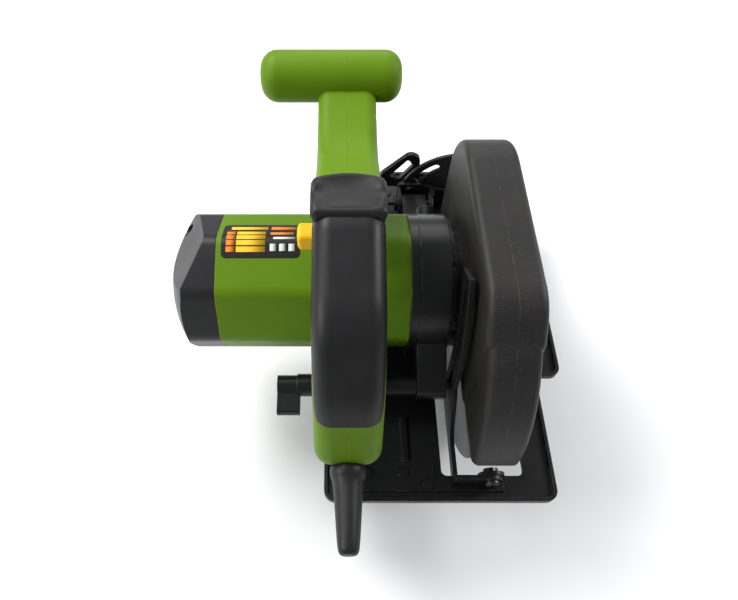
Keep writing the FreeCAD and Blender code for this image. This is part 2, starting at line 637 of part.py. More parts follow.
# ---- motor ----
def facets(radius, inset, x0, x1):
    """Eight-sided barrel with rounded corners, about the motor axis."""
    reach = radius - inset / math.cos(math.radians(22.5))
    corners = [polar(MOTOR_Y, MOTOR_Z, reach, FACET_TURN + 45 * i) + (12.0 - inset,) for i in range(8)]
    return slab_x(corners, x0, x1)


REAR_WALL = HOUSING_LEFT + 7.0
CAP_SCREWS = [polar(MOTOR_Y, MOTOR_Z, 37.0, turn) for turn in (135, 315)]
CAP_SCREW_SEAT = HOUSING_LEFT - 15.0


def motor_housing():
    shell = facets(HOUSING_R, 0, HOUSING_LEFT, HOUSING_RIGHT)
    shell = shell.cut(facets(HOUSING_R, HOUSING_WALL, HOUSING_LEFT - 1, HOUSING_RIGHT + 1))
    wall = facets(HOUSING_R, 1, REAR_WALL - 4, REAR_WALL)
    boss = rod_x(MOTOR_Y, MOTOR_Z, BALL_BEARING_R + 3, HOUSING_LEFT - 8, REAR_WALL)
    parts = [shell, wall, boss]
    for y, z in HOUSING_SCREWS:
        parts.append(rod_x(y, z, 4.0, HOUSING_RIGHT - 16, HOUSING_RIGHT))
    housing = join(parts)
    housing = housing.cut(rod_x(MOTOR_Y, MOTOR_Z, BALL_BEARING_R, HOUSING_LEFT - 9, HOUSING_LEFT - 0.5))
    housing = housing.cut(rod_x(MOTOR_Y, MOTOR_Z, SHAFT_END_R + 2, HOUSING_LEFT - 9, HOUSING_RIGHT))
    for turn in range(0, 360, 45):
        y, z = polar(MOTOR_Y, MOTOR_Z, 26.0, turn)
        housing = housing.cut(rod_x(y, z, 7.0, REAR_WALL - 5, REAR_WALL + 1))
    for y, z in HOUSING_SCREWS:
        housing = housing.cut(rod_x(y, z, 2.0, HOUSING_RIGHT - 14, HOUSING_RIGHT + 1))
    for y, z in CAP_SCREWS:
        housing = housing.cut(rod_x(y, z, 2.0, REAR_WALL - 5, REAR_WALL + 1))
    return housing.removeSplitter()


SCOOP_FACING = V(-0.745, 0.075, 0.663)
SCOOP_BACK = 8.0
SCOOP_REACH = 120.0


def cap_form(inset):
    """Domed eight-sided form with a flat scoop sliced off its top left corner."""
    form = facets(HOUSING_R, inset, CAP_TIP - 2, HOUSING_LEFT)
    centre = CAP_TIP + CAP_DOME_R
    form = form.common(Part.makeSphere(CAP_DOME_R - inset, V(centre, MOTOR_Y, MOTOR_Z)))
    edge = V(HOUSING_LEFT - SCOOP_BACK, MOTOR_Y, MOTOR_Z + HOUSING_R)
    slice_ = Part.makeCylinder(SCOOP_REACH, SCOOP_REACH, edge - SCOOP_FACING * inset, SCOOP_FACING)
    return form.cut(slice_)


def motor_end_cap():
    cap = cap_form(0).cut(cap_form(HOUSING_WALL))
    for y, z in CAP_SCREWS:
        post = rod_x(y, z, 5.5, CAP_TIP, HOUSING_LEFT).common(cap_form(0))
        cap = cap.fuse(post)
    for y, z in CAP_SCREWS:
        cap = cap.cut(rod_x(y, z, 2.0, CAP_TIP, HOUSING_LEFT + 1))
        cap = cap.cut(rod_x(y, z, 4.2, CAP_TIP - 5, CAP_SCREW_SEAT))
    for i in range(5):
        x = HOUSING_LEFT - 5 - 3.6 * i
        cap = cap.cut(box(x - 1.1, x + 1.1, MOTOR_Y + 18, MOTOR_Y + 60, MOTOR_Z - 14, MOTOR_Z + 14))
    return cap.removeSplitter()


def screw_x(y, z, x_tip, x_head, side):
    """Pan-head screw along X; side is +1 where the head faces +X."""
    if side > 0:
        return rod_x(y, z, 2.0, x_tip, x_head).fuse(rod_x(y, z, 4.0, x_head, x_head + 2.6))
    return rod_x(y, z, 2.0, x_head, x_tip).fuse(rod_x(y, z, 4.0, x_head - 2.6, x_head))


def housing_screws():
    screws = [screw_x(y, z, HOUSING_RIGHT - 12, GEARBOX_RIGHT - 7, 1) for y, z in HOUSING_SCREWS]
    screws += [screw_x(y, z, REAR_WALL, CAP_SCREW_SEAT, -1) for y, z in CAP_SCREWS]
    return group([screw.removeSplitter() for screw in screws])


STATOR_LEFT = -150.0
STATOR_RIGHT = -95.0
CORE_R = 26.0


def stator_core():
    core = rod_x(MOTOR_Y, MOTOR_Z, 42.9, STATOR_LEFT, STATOR_RIGHT)
    core = core.cut(rod_x(MOTOR_Y, MOTOR_Z, CORE_R + 0.8, STATOR_LEFT - 1, STATOR_RIGHT + 1))
    for side in (-1, 1):
        y = MOTOR_Y + side * 33.0
        core = core.cut(box(STATOR_LEFT - 1, STATOR_RIGHT + 1, y - 4, y + 4, MOTOR_Z - 15, MOTOR_Z + 15))
    return core.removeSplitter()


def field_windings():
    """Two coils, each a closed block through a slot of the core and past its ends."""
    coils = []
    for side in (-1, 1):
        y = MOTOR_Y + side * 33.0
        outer = box(STATOR_LEFT - 8, STATOR_RIGHT + 8, y - 3.8, y + 3.8, MOTOR_Z - 14.8, MOTOR_Z + 14.8)
        coils.append(outer)
    return group(coils)


def armature_bearings():
    inner = SHAFT_END_R + RUN_FIT
    front = ball_bearing(MOTOR_Y, MOTOR_Z, BALL_BEARING_R, inner, HOUSING_RIGHT - 2.5, GEARBOX_LEFT - 1)
    rear = ball_bearing(MOTOR_Y, MOTOR_Z, BALL_BEARING_R, inner, HOUSING_LEFT - 7.5, HOUSING_LEFT - 0.5)
    return group([front, rear])


COMMUTATOR_LEFT = -172.0
COMMUTATOR_RIGHT = -159.0
COMMUTATOR_R = 12.0
BRUSH_X = (COMMUTATOR_LEFT + COMMUTATOR_RIGHT) / 2


def brush_holders():
    holders = []
    for side in (-1, 1):
        near = MOTOR_Y + side * (COMMUTATOR_R + 1.5)
        far = MOTOR_Y + side * 44.2
        low, high = min(near, far), max(near, far)
        block = box(BRUSH_X - 4.6, BRUSH_X + 4.6, low, high, MOTOR_Z - 5, MOTOR_Z + 5)
        block = block.cut(box(BRUSH_X - 3.1, BRUSH_X + 3.1, low - 1 if side > 0 else low + 3,
                              high - 3 if side > 0 else high + 1, MOTOR_Z - 3.5, MOTOR_Z + 3.5))
        holders.append(block)
    return group(holders)


def carbon_brushes():
    brushes = []
    for side in (-1, 1):
        near = MOTOR_Y + side * (COMMUTATOR_R + 0.1)
        far = MOTOR_Y + side * 28.0
        brushes.append(box(BRUSH_X - 3.0, BRUSH_X + 3.0, min(near, far), max(near, far),
                           MOTOR_Z - 3.4, MOTOR_Z + 3.4))
    return group(brushes)


def toothed_x(y, z, teeth, x0, x1, phase, fullness):
    """Spur gear; phase is the angle of one tooth's middle, from +Y towards +Z."""
    pitch_r = GEAR_MODULE * teeth / 2
    tip_r = pitch_r + GEAR_MODULE * 0.95
    root_r = pitch_r - GEAR_MODULE * 1.2
    half = 90.0 / teeth * fullness
    corners = []
    for i in range(teeth):
        middle = phase + 360.0 * i / teeth
        for r, share in ((root_r, -1.45), (tip_r, -0.45), (tip_r, 0.45), (root_r, 1.45)):
            turn = math.radians(middle + share * half)
            corners.append((y + r * math.cos(turn), z + r * math.sin(turn), 0))
    return slab_x(corners, x0, x1)


def armature_shaft():
    """Shaft with the pinion cut on its right end."""
    y, z = MOTOR_Y, MOTOR_Z
    shaft = rod_x(y, z, SHAFT_END_R, HOUSING_LEFT - 7.5, GEARBOX_LEFT + 17)
    shaft = shaft.fuse(rod_x(y, z, SHAFT_R, HOUSING_LEFT + 1, HOUSING_RIGHT - 6))
    pinion = toothed_x(y, z, PINION_TEETH, GEARBOX_LEFT + 2, GEARBOX_LEFT + 17, 180 + MOTOR_ANGLE, 0.86)
    return join([shaft, pinion])


def armature_core():
    core = ring_x(MOTOR_Y, MOTOR_Z, CORE_R, SHAFT_R, STATOR_LEFT, STATOR_RIGHT)
    for i in range(12):
        y, z = polar(MOTOR_Y, MOTOR_Z, CORE_R, 30 * i)
        core = core.cut(rod_x(y, z, 1.4, STATOR_LEFT - 1, STATOR_RIGHT + 1))
    for x0, x1 in ((STATOR_LEFT - 7, STATOR_LEFT), (STATOR_RIGHT, STATOR_RIGHT + 7)):
        core = core.fuse(ring_x(MOTOR_Y, MOTOR_Z, 21.0, SHAFT_R, x0, x1))
    return core.removeSplitter()


def commutator():
    ring = ring_x(MOTOR_Y, MOTOR_Z, COMMUTATOR_R, SHAFT_R, COMMUTATOR_LEFT, COMMUTATOR_RIGHT)
    return ring


def cooling_fan():
    hub = ring_x(MOTOR_Y, MOTOR_Z, 9.0, SHAFT_R, -80, -66)
    disc = ring_x(MOTOR_Y, MOTOR_Z, 35.0, SHAFT_R, -69, -66)
    parts = [hub, disc]
    for i in range(12):
        turn = 30 * i
        corners = [polar(MOTOR_Y, MOTOR_Z, reach, turn + lean) + (0,)
                   for reach, lean in ((8.5, -2), (35.0, 13), (35.0, 16), (8.5, 8))]
        parts.append(slab_x(corners, -78, -68))
    return join(parts)


# ---- blade and spindle ----
def spindle():
    shaft = rod_x(0, SPINDLE_Z, SPINDLE_R, -42, 0.6)
    shaft = shaft.fuse(rod_x(0, SPINDLE_Z, SPINDLE_TAIL_R, GEARBOX_LEFT - 4.5, -42))
    shaft = shaft.fuse(rod_x(0, SPINDLE_Z, SPINDLE_R + 2.5, -31, -26))
    return shaft.cut(rod_x(0, SPINDLE_Z, 4.0, -22, 2)).removeSplitter()


def drive_gear():
    gear = toothed_x(0, SPINDLE_Z, GEAR_TEETH, -43, -33, MOTOR_ANGLE + 180.0 / GEAR_TEETH, 0.86)
    gear = gear.cut(rod_x(0, SPINDLE_Z, SPINDLE_R, -42, -30))
    gear = gear.cut(rod_x(0, SPINDLE_Z, SPINDLE_TAIL_R, -50, -41))
    for i in range(6):
        y, z = polar(0, SPINDLE_Z, 15.0, 60 * i)
        gear = gear.cut(rod_x(y, z, 3.2, -50, -30))
    return gear.removeSplitter()


FLANGE_R = 19.0


def inner_flange():
    half = BLADE_BODY / 2
    flange = rod_x(0, SPINDLE_Z, FLANGE_R, -half - 4, -half)
    flange = flange.fuse(rod_x(0, SPINDLE_Z, 12.0, -13.6, -half - 4))
    flange = flange.fuse(rod_x(0, SPINDLE_Z, BLADE_BORE_R, -half, half - 0.4))
    return flange.cut(rod_x(0, SPINDLE_Z, SPINDLE_R, -20, 5)).removeSplitter()


def outer_flange():
    half = BLADE_BODY / 2
    flange = rod_x(0, SPINDLE_Z, FLANGE_R, half, half + 3.5)
    flange = flange.cut(rod_x(0, SPINDLE_Z, FLANGE_R - 5, half - 1, half + 0.5))
    flange = flange.fuse(ring_x(0, SPINDLE_Z, 9.0, 4.0, half, half + 1))
    return flange.cut(rod_x(0, SPINDLE_Z, 4.0, 0, 10)).removeSplitter()


def blade_bolt():
    seat = BLADE_BODY / 2 + 3.5
    corners = [(7.5 * math.cos(math.radians(60 * i)), SPINDLE_Z + 7.5 * math.sin(math.radians(60 * i)), 0)
               for i in range(6)]
    head = slab_x(corners, seat + 1.6, seat + 7)
    collar = rod_x(0, SPINDLE_Z, 9.5, seat, seat + 1.6)
    return join([rod_x(0, SPINDLE_Z, 4.0, -18, seat), collar, head])


def saw_blade():
    """Steel disc with a gullet before each tooth and four slots that let it expand."""
    r = BLADE_DIA / 2 - 0.4
    root = r - GULLET_DEPTH
    pitch = 360.0 / TOOTH_COUNT
    corners = []
    for i in range(TOOTH_COUNT):
        for radius, share, rounding in ((r, 0.0, 0), (r - 1.2, 0.34, 0), (root + 2.5, 0.60, 2.2),
                                        (root, 0.80, 2.0), (root + 3.5, 1.0, 0)):
            turn = math.radians(-(i + share) * pitch)
            corners.append((radius * math.cos(turn), SPINDLE_Z + radius * math.sin(turn), rounding))
    half = BLADE_BODY / 2
    blade = slab_x(corners, -half, half)
    blade = blade.cut(rod_x(0, SPINDLE_Z, BLADE_BORE_R, -half - 1, half + 1))
    for i in range(4):
        turn = 90 * i + 33
        y, z = polar(0, SPINDLE_Z, 70.0, turn)
        blade = blade.cut(rod_x(y, z, 3.0, -half - 1, half + 1))
    return blade.removeSplitter()


def blade_tips():
    """Carbide tips, wider than the disc, one at the leading edge of each tooth."""
    r = BLADE_DIA / 2
    tips = []
    for i in range(TOOTH_COUNT):
        tip = box(-KERF / 2, KERF / 2, r - 5.5, r, 0, 1.6)
        tip.translate(V(0, 0, SPINDLE_Z))
        tip.rotate(V(0, 0, SPINDLE_Z), V(1, 0, 0), -360.0 * i / TOOTH_COUNT)
        tips.append(tip)
    return group(tips)


# ---- handle ----
HANDLE_LEFT = HANDLE_X - HANDLE_W / 2
HANDLE_RIGHT = HANDLE_X + HANDLE_W / 2
SKIN_END_Z = 94.0
SKIN_LINE = [(-30.0, 152.0), (-66.0, 137.0), (-90.0, 112.0), (-102.0, SKIN_END_Z)]
TRIGGER_Y = (-50.0, -31.0)
TRIGGER_HALF = 6.0
BUTTON_Y = -3.0
BUTTON_Z = 138.0
BUTTON_HALF = 6.5
SLEEVE_Z = 52.0
SLEEVE_ROOT = -102.0
SLEEVE_NECK = 13.0
SLEEVE_TIP = -168.0


def grip_outline(inset):
    """Side view of the closed hand grip, its foot on the motor and its lower bridge."""
    r = inset
    return [(22.0 - r, 163.0 - r, 14.0 - r), (-14.0, 167.0 - r, 24.0 - r),
            (-72.0 + 0.8 * r, 147.0 - 0.9 * r, 60.0),
            (-101.0 + r, 109.0 - 0.6 * r, 66.0), (-118.0 + r, 62.0, 20.0 - r),
            (-112.0 + r, 41.0 + r, 14.0 - r), (0.0, 41.0 + r, 0), (0.0, 80.0, 0), (46.0, 80.0, 0),
            (50.0, 112.0, 12.0), (30.0, 140.0 - r, 20.0)]


FINGER_GAP = [(-12.0, 136.0, 10.0), (-58.0, 116.0, 30.0), (-83.0, 88.0, 30.0), (-89.0, 64.0, 10.0),
              (-12.0, 64.0, 10.0), (-4.0, 100.0, 10.0)]
GAP_FLARE = 7.0


def finger_gap():
    """Opening of the D grip, flared towards both sides."""
    opening = slab_x(FINGER_GAP, HANDLE_LEFT - 1, HANDLE_RIGHT + 1)
    for face, side in ((HANDLE_LEFT, -1), (HANDLE_RIGHT, 1)):
        narrow = outline(FINGER_GAP, lambda p: V(face - side * GAP_FLARE, p.x, p.y))
        wide = outline(FINGER_GAP, lambda p: V(face + side * 0.5, p.x, p.y)).makeOffset2D(GAP_FLARE)
        opening = opening.fuse(Part.makeLoft([narrow, wide], True, True))
    return opening


def handle_envelope():
    body = soften_ends(slab_x(grip_outline(0), HANDLE_LEFT, HANDLE_RIGHT), [HANDLE_LEFT, HANDLE_RIGHT], 11.0)
    body = body.cut(finger_gap())
    neck = slab_x([(-2, 160, 0), (26, 160, 14), (66, 145, 60), (CROSSBAR_Y, CROSSBAR_Z + 4, 0),
                   (CROSSBAR_Y, CROSSBAR_Z - 12, 0), (88, 128, 30), (52, 98, 20), (20, 84, 0),
                   (-2, 84, 0)], HANDLE_LEFT + 1, HANDLE_RIGHT - 1)
    neck = soften_ends(neck, [HANDLE_LEFT + 1, HANDLE_RIGHT - 1], 8.0)
    bar = rod_x(CROSSBAR_Y, CROSSBAR_Z, CROSSBAR_R, CROSSBAR_LEFT, CROSSBAR_RIGHT)
    bar = soften_ends(bar, [CROSSBAR_LEFT, CROSSBAR_RIGHT], 12.0)
    whole = join([body, neck, bar]).cut(facets(HOUSING_R, 0, HANDLE_LEFT - 1, HANDLE_RIGHT + 1))
    return max(whole.Solids, key=lambda s: s.Volume)


def thumb_pad():
    half = THUMB_W / 2
    pad = slab_x([(24.0, 150.0, 5.0), (23.0, 165.0, 7.0), (4.0, 170.0, 12.0), (-12.0, 168.0, 7.0),
                  (-11.0, 150.0, 5.0)], HANDLE_X - half, HANDLE_X + half)
    return soften_ends(pad, [HANDLE_X - half, HANDLE_X + half], 4.5)


def skin_region(pad):
    """What lies above the line where the soft skin ends, from the thumb rest to the lower end."""
    corners = [(y, z, 0) for y, z in SKIN_LINE]
    corners += [(-135, SKIN_END_Z, 0), (-135, 180, 0), (-2, 180, 0), (-2, 150, 0)]
    return slab_x(corners, HANDLE_LEFT - 2, HANDLE_RIGHT + 2).cut(pad)


def grip_overmould(envelope, pad):
    """Rubber skin over the back and sides of the grip."""
    core = slab_x(grip_outline(HANDLE_SKIN), HANDLE_LEFT + HANDLE_SKIN, HANDLE_RIGHT - HANDLE_SKIN)
    core = soften_ends(core, [HANDLE_LEFT + HANDLE_SKIN, HANDLE_RIGHT - HANDLE_SKIN], 8.5)
    skin = envelope.common(skin_region(pad)).cut(core)
    return max(skin.Solids, key=lambda s: s.Volume)


def switch_outline(gap):
    return [(-18.0 - gap, 148.0 - gap, 0), (-18.0 - gap, 141.0, 0), (-52.0 + gap, 141.0, 0),
            (-54.0 + gap, 142.8 - gap, 0)]


def handle_cavity():
    room = slab_x([(-18, 148, 0), (-18, 139, 0), (-56, 125, 0), (-60, 142, 0)],
                  HANDLE_X - 12, HANDLE_X + 12)
    y0, y1 = TRIGGER_Y
    slot = box(HANDLE_X - TRIGGER_HALF - 0.3, HANDLE_X + TRIGGER_HALF + 0.3, y0 - 0.3, y1 + 0.3, 100, 138)
    return room.fuse(slot)


def button_form(x0, x1, gap):
    low_y, high_y = BUTTON_Y - BUTTON_HALF - gap, BUTTON_Y + BUTTON_HALF + gap
    low_z, high_z = BUTTON_Z - BUTTON_HALF - gap, BUTTON_Z + BUTTON_HALF + gap
    return slab_x([(low_y, low_z, 3), (high_y, low_z, 3), (high_y, high_z, 3), (low_y, high_z, 3)], x0, x1)


def sleeve_form():
    """Turned form of the cable sleeve: flange inside the handle, collar, taper, round tip."""
    neck = SLEEVE_ROOT - SLEEVE_NECK
    points = [(0, SLEEVE_ROOT), (9.0, SLEEVE_ROOT), (9.0, SLEEVE_ROOT - 4), (7.5, SLEEVE_ROOT - 4),
              (7.5, neck), (11.5, neck - 3), (11.0, neck - 7), (9.8, neck - 9), (7.4, SLEEVE_TIP + 4),
              (5.4, SLEEVE_TIP), (0, SLEEVE_TIP)]
    wire = Part.makePolygon([V(r, y, 0) for r, y in points] + [V(0, SLEEVE_ROOT, 0)])
    form = Part.Face(wire).revolve(V(0, 0, 0), V(0, 1, 0), 360)
    form.translate(V(HANDLE_X, 0, SLEEVE_Z))
    return form


HANDLE_SCREWS = [(-92.0, 52.5), (-54.0, 52.5), (30.0, 126.0), (98.0, 141.0)]


def handle_body(envelope, pad, skin):
    body = envelope.cut(pad).cut(skin).cut(handle_cavity()).cut(sleeve_form())
    body = body.cut(button_form(HANDLE_LEFT - 2, HANDLE_LEFT + 15, 0.1))
    for y, z in HANDLE_SCREWS:
        body = body.cut(rod_x(y, z, 2.0, HANDLE_X - 14, HANDLE_RIGHT + 1))
        body = body.cut(rod_x(y, z, 4.2, HANDLE_RIGHT - 7, HANDLE_RIGHT + 1))
    return body


def handle_half(body, x0, x1):
    half = body.common(box(x0, x1, -200, 200, 0, 200))
    return max(half.Solids, key=lambda s: s.Volume).removeSplitter()


def handle_screws():
    return group([screw_x(y, z, HANDLE_X - 14, HANDLE_RIGHT - 7, 1).removeSplitter()
                  for y, z in HANDLE_SCREWS])


def switch_body():
    return slab_x(switch_outline(0.3), HANDLE_X - 11.7, HANDLE_X + 11.7)


def trigger():
    y0, y1 = TRIGGER_Y
    finger = slab_x([(y0, 110, 6), (y1, 113, 6), (y1, 135, 0), (y0, 135, 0)],
                    HANDLE_X - TRIGGER_HALF, HANDLE_X + TRIGGER_HALF)
    return soften_ends(finger, [HANDLE_X - TRIGGER_HALF, HANDLE_X + TRIGGER_HALF], 1.5)


def lock_off_button():
    button = button_form(HANDLE_LEFT - 9, HANDLE_LEFT + 9, 0)
    return soften_ends(button, [HANDLE_LEFT - 9], 2.0)


def strain_relief():
    return sleeve_form()


LABEL_LEFT = -179.0
LABEL_RIGHT = -127.5
LABEL_REAR = 5.0
LABEL_FRONT = 34.0


def rating_plate():
    """Thin plate that follows the barrel's facets."""
    plate = facets(HOUSING_R + 0.5, 0, LABEL_LEFT, LABEL_RIGHT)
    plate = plate.cut(facets(HOUSING_R, 0, LABEL_LEFT - 1, LABEL_RIGHT + 1))
    patch = slab_z([(LABEL_LEFT, LABEL_REAR, 3), (LABEL_RIGHT, LABEL_REAR, 3), (LABEL_RIGHT, LABEL_FRONT, 3),
                    (LABEL_LEFT, LABEL_FRONT, 3)], 90, 120)
    return plate.common(patch)


# ---- depth lock ----
def depth_lock_bolt():
    bolt = rod_x(LOCK_Y, LOCK_Z, LOCK_BOLT_R, -74, ARM_X + ARM_T)
    return bolt.fuse(rod_x(LOCK_Y, LOCK_Z, 5.5, ARM_X + ARM_T, ARM_X + ARM_T + 2.4)).removeSplitter()


def depth_lock_rod():
    """Long lever nut: tube with a flat paddle on its left end."""
    right = LUG_LEFT - GAP
    tube = rod_x(LOCK_Y, LOCK_Z, LOCK_ROD_R, LOCK_ROD_LEFT + 14, right)
    hub = rod_x(LOCK_Y, LOCK_Z, LOCK_ROD_R - 1, LOCK_ROD_LEFT, LOCK_ROD_LEFT + 16)
    paddle = slab_x([(LOCK_Y + 4, LOCK_Z + 4, 2), (LOCK_Y - 20, LOCK_Z - 1, 2), (LOCK_Y - 21, LOCK_Z - 7, 2),
                     (LOCK_Y + 2, LOCK_Z - 5, 2)], LOCK_ROD_LEFT, LOCK_ROD_LEFT + 16)
    lever = join([tube, hub, paddle])
    return lever.cut(rod_x(LOCK_Y, LOCK_Z, LOCK_BOLT_R + RUN_FIT, -78, right + 1)).removeSplitter()


def main():
    os.makedirs("parts", exist_ok=True)
    shell = guard_shell()
    envelope = handle_envelope()
    pad = thumb_pad()
    skin = grip_overmould(envelope, pad)
    body = handle_body(envelope, pad, skin)
    pieces = {
        "base_plate": base_plate(),
        "rear_pivot_bracket": rear_pivot_bracket(),
        "bevel_quadrant": bevel_quadrant(),
        "fence_bracket": fence_bracket(),
        "sole_rivets": sole_rivets(),
        "fence_screw": fence_screw(),
        "depth_arm": depth_arm(),
        "front_pivot_bracket": front_pivot_bracket(),
        "depth_pivot_pin": depth_pivot_pin(),
        "bevel_bolt": bevel_bolt(),
        "tilt_pivots": tilt_rivets(),
        "bevel_lever": bevel_lever(),
        "guard_left_half": guard_left_half(shell),
        "guard_right_half": guard_right_half(shell),
        "guard_screws": guard_screws(),
        "lower_guard": lower_guard(),
        "guard_lift_lever": guard_lift_lever(),
        "guard_spring": guard_spring(),
        "guard_retaining_ring": retaining_ring(),
        "gear_housing": gear_housing(),
        "bearing_bridge": bearing_bridge(),
        "spindle_bearings": spindle_bearings(),
        "spindle_lock_button": spindle_lock_button(),
        "motor_housing": motor_housing(),
        "motor_end_cap": motor_end_cap(),
        "housing_screws": housing_screws(),
        "stator_core": stator_core(),
        "field_windings": field_windings(),
        "armature_bearings": armature_bearings(),
        "brush_holders": brush_holders(),
        "carbon_brushes": carbon_brushes(),
        "armature_shaft": armature_shaft(),
        "armature_core": armature_core(),
        "commutator": commutator(),
        "cooling_fan": cooling_fan(),
        "spindle": spindle(),
        "drive_gear": drive_gear(),
        "inner_flange": inner_flange(),
        "outer_flange": outer_flange(),
        "blade_bolt": blade_bolt(),
        "saw_blade": saw_blade(),
        "blade_tips": blade_tips(),
        "handle_left": handle_half(body, -200, HANDLE_X),
        "handle_right": handle_half(body, HANDLE_X, 200),
        "grip_overmould": skin,
        "thumb_rest": pad,
        "handle_screws": handle_screws(),
        "switch_body": switch_body(),
        "trigger": trigger(),
        "lock_off_button": lock_off_button(),
        "strain_relief": strain_relief(),
        "rating_plate": rating_plate(),
        "depth_lock_bolt": depth_lock_bolt(),
        "depth_lock_rod": depth_lock_rod(),
    }
    for name, shape in pieces.items():
        save(name, shape)
        print(name, len(shape.Solids), round(shape.Volume), shape.isValid())


main()
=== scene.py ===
import bmesh
import bpy
import math
from mathutils import Matrix, Vector
from mathutils.bvhtree import BVHTree


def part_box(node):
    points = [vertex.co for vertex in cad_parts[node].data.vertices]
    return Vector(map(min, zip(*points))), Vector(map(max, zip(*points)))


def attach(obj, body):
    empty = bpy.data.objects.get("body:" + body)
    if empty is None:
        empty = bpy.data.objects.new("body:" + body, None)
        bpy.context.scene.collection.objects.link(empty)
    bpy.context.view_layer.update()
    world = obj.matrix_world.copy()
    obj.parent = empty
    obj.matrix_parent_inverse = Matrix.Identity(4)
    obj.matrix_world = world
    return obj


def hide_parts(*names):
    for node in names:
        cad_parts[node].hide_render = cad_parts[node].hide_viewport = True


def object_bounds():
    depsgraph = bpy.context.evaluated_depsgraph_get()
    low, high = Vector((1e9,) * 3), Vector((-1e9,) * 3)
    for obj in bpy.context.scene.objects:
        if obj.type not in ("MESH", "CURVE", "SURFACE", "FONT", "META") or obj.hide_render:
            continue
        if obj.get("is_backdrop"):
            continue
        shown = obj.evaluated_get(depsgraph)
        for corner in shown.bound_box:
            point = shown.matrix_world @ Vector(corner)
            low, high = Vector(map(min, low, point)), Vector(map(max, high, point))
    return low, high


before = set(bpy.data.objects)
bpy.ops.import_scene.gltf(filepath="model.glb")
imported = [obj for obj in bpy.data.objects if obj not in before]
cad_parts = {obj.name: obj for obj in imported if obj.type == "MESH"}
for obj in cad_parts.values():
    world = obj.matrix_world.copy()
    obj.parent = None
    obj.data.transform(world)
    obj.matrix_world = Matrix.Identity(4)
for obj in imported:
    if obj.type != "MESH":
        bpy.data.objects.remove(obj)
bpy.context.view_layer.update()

# ---- Sole ----
# The sole is pressed from 2.5 mm steel sheet with a turned-up lip, then powder coated satin black.
# Its brackets are stamped from the same sheet and riveted on. The coating wears grey on the edges.
def surface_patterns_group():
    """Grain, mottle and fine scratches over the object's own coordinates."""
    group = bpy.data.node_groups.new("surface_patterns", "ShaderNodeTree")
    for label in ("Grain Scale", "Mottle Scale"):
        group.interface.new_socket(name=label, in_out="INPUT", socket_type="NodeSocketFloat")
    for label in ("Grain", "Mottle", "Scratches"):
        group.interface.new_socket(name=label, in_out="OUTPUT", socket_type="NodeSocketFloat")
    nodes = group.nodes
    links = group.links
    entry = nodes.new("NodeGroupInput")
    exit_ = nodes.new("NodeGroupOutput")
    place = nodes.new("ShaderNodeTexCoord")
    for label, detail in (("Grain", 2.0), ("Mottle", 4.0)):
        noise = nodes.new("ShaderNodeTexNoise")
        noise.inputs["Detail"].default_value = detail
        links.new(place.outputs["Object"], noise.inputs["Vector"])
        links.new(entry.outputs[label + " Scale"], noise.inputs["Scale"])
        links.new(noise.outputs["Fac"], exit_.inputs[label])
    stretch = nodes.new("ShaderNodeMapping")
    stretch.inputs["Rotation"].default_value = (0.4, 0.2, 0.7)  # scratches run askew to the saw's axes
    stretch.inputs["Scale"].default_value = (40.0, 900.0, 500.0)
    lines = nodes.new("ShaderNodeTexNoise")
    lines.inputs["Detail"].default_value = 3.0
    keep = nodes.new("ShaderNodeMapRange")
    keep.inputs["From Min"].default_value = 0.62
    keep.inputs["From Max"].default_value = 0.75
    links.new(place.outputs["Object"], stretch.inputs["Vector"])
    links.new(stretch.outputs["Vector"], lines.inputs["Vector"])
    links.new(lines.outputs["Fac"], keep.inputs["Value"])
    links.new(keep.outputs["Result"], exit_.inputs["Scratches"])
    return group


def edge_wear_group():
    """A mask of the outer edges, broken up by noise, where a finish rubs thin."""
    group = bpy.data.node_groups.new("edge_wear", "ShaderNodeTree")
    group.interface.new_socket(name="Radius", in_out="INPUT", socket_type="NodeSocketFloat")
    group.interface.new_socket(name="Edge", in_out="OUTPUT", socket_type="NodeSocketFloat")
    nodes = group.nodes
    links = group.links
    entry = nodes.new("NodeGroupInput")
    exit_ = nodes.new("NodeGroupOutput")
    rounded = nodes.new("ShaderNodeBevel")
    rounded.samples = 4
    flat = nodes.new("ShaderNodeNewGeometry")
    meet = nodes.new("ShaderNodeVectorMath")
    meet.operation = "DOT_PRODUCT"
    turned = nodes.new("ShaderNodeMapRange")
    turned.inputs["From Min"].default_value = 0.99
    turned.inputs["From Max"].default_value = 0.80
    noise = nodes.new("ShaderNodeTexNoise")
    noise.inputs["Scale"].default_value = 160.0
    noise.inputs["Detail"].default_value = 4.0
    patchy = nodes.new("ShaderNodeMapRange")
    patchy.inputs["From Min"].default_value = 0.42
    patchy.inputs["From Max"].default_value = 0.62
    place = nodes.new("ShaderNodeTexCoord")
    both = nodes.new("ShaderNodeMath")
    both.operation = "MULTIPLY"
    links.new(entry.outputs["Radius"], rounded.inputs["Radius"])
    links.new(rounded.outputs["Normal"], meet.inputs[0])
    links.new(flat.outputs["Normal"], meet.inputs[1])
    links.new(meet.outputs["Value"], turned.inputs["Value"])
    links.new(place.outputs["Object"], noise.inputs["Vector"])
    links.new(noise.outputs["Fac"], patchy.inputs["Value"])
    links.new(turned.outputs["Result"], both.inputs[0])
    links.new(patchy.outputs["Result"], both.inputs[1])
    links.new(both.outputs["Value"], exit_.inputs["Edge"])
    return group


surface_patterns = surface_patterns_group()
edge_wear = edge_wear_group()


